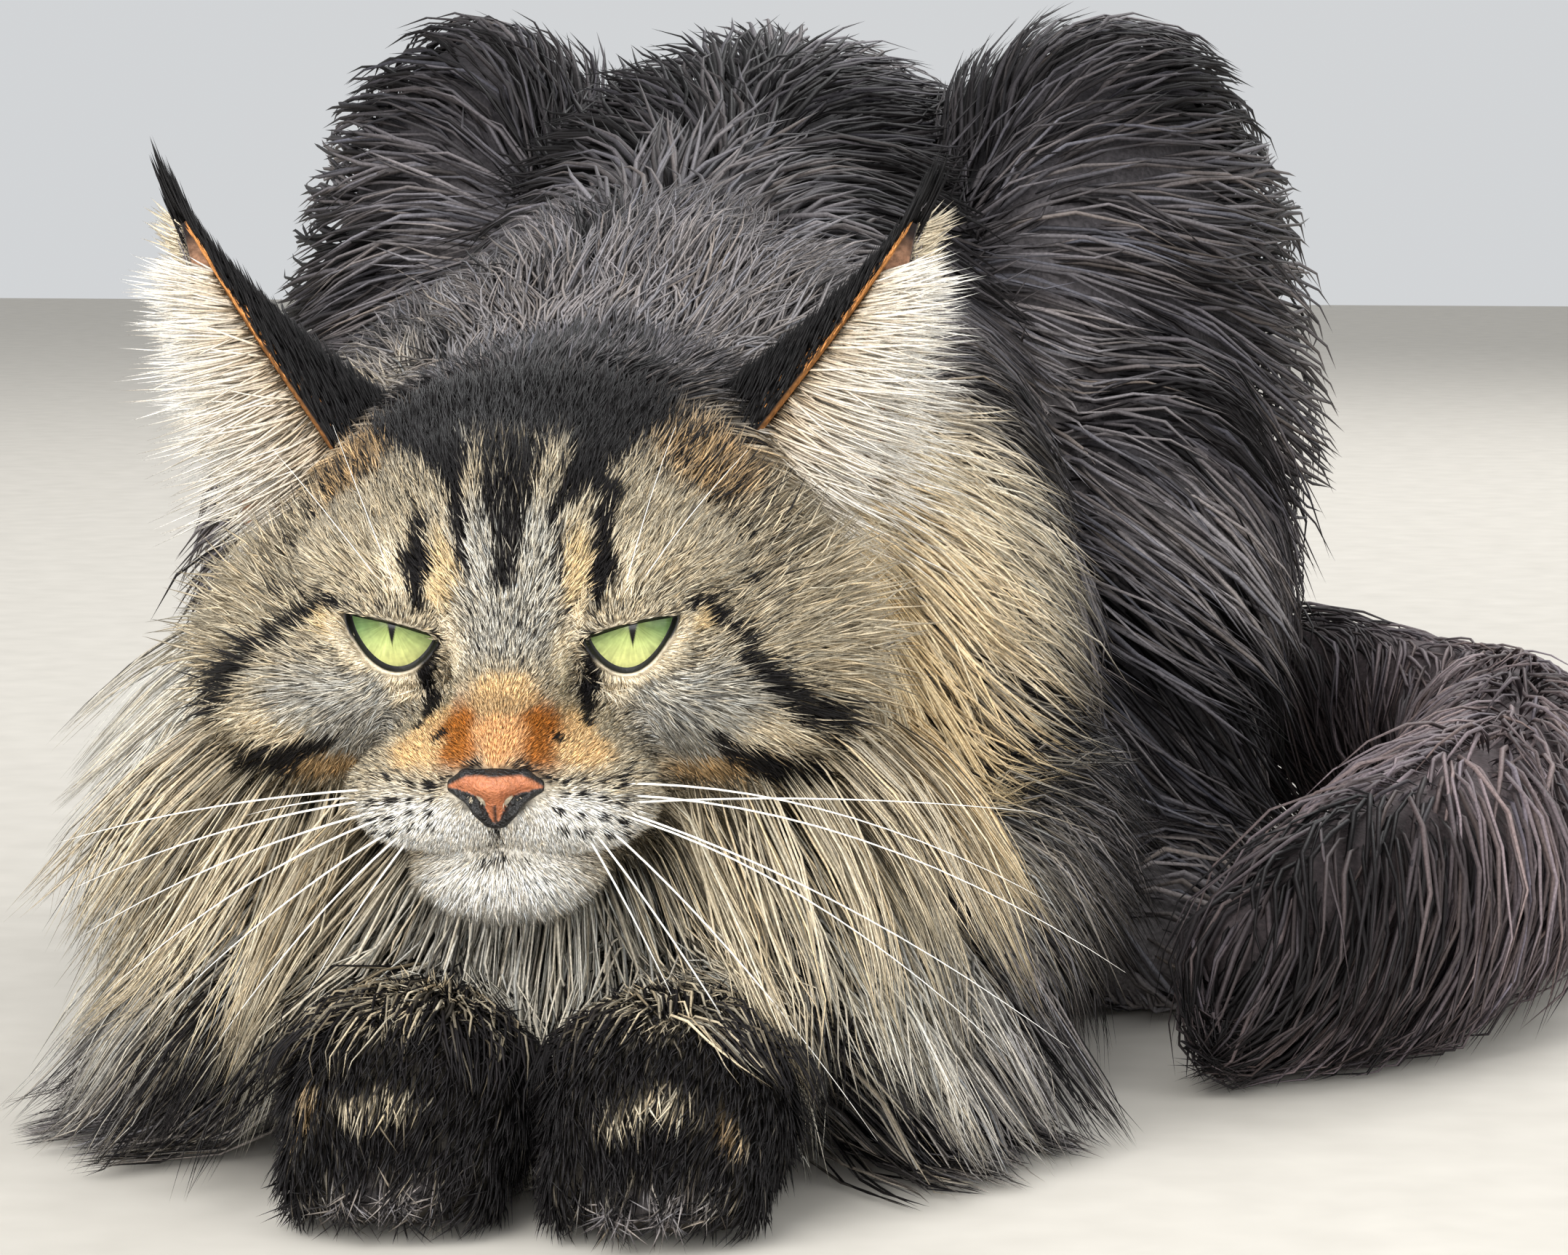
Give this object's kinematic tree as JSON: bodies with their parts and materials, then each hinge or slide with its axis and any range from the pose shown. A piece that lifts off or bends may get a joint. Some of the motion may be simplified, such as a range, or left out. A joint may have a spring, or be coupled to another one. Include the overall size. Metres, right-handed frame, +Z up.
{
  "type": "maine coon cat",
  "caption": "Life-size still model of a long-haired tabby cat crouched with forepaws under the chin, head low and tail laid along its side.",
  "frame": {"origin": "middle of the flat under the belly, on the floor", "axes": "-Y the way the cat faces, +X its left side, +Z up"},
  "size_m": [0.3535, 0.5683, 0.2279],
  "materials": {
    "brown_coat": "long grey-brown tabby hair",
    "ruff_coat": "long cream and beige hair",
    "face_coat": "short ticked tabby hair",
    "ear_coat": "short hair with dark tufts",
    "eye_clear": "clear glossy eye, yellow-green iris",
    "nose_leather": "bare salmon skin, finely pebbled"
  },
  "bodies": {
    "root": {"head": "face_coat", "nose": "nose_leather", "eye_left": "eye_clear", "eye_right": "eye_clear", "ear_left": "ear_coat", "ear_right": "ear_coat", "neck": "ruff_coat", "torso": "brown_coat", "foreleg_left": "brown_coat", "foreleg_right": "brown_coat", "hindleg_left": "brown_coat", "hindleg_right": "brown_coat", "tail_base": "brown_coat", "tail_mid": "brown_coat", "tail_tip": "brown_coat"}
  },
  "joints": []
}
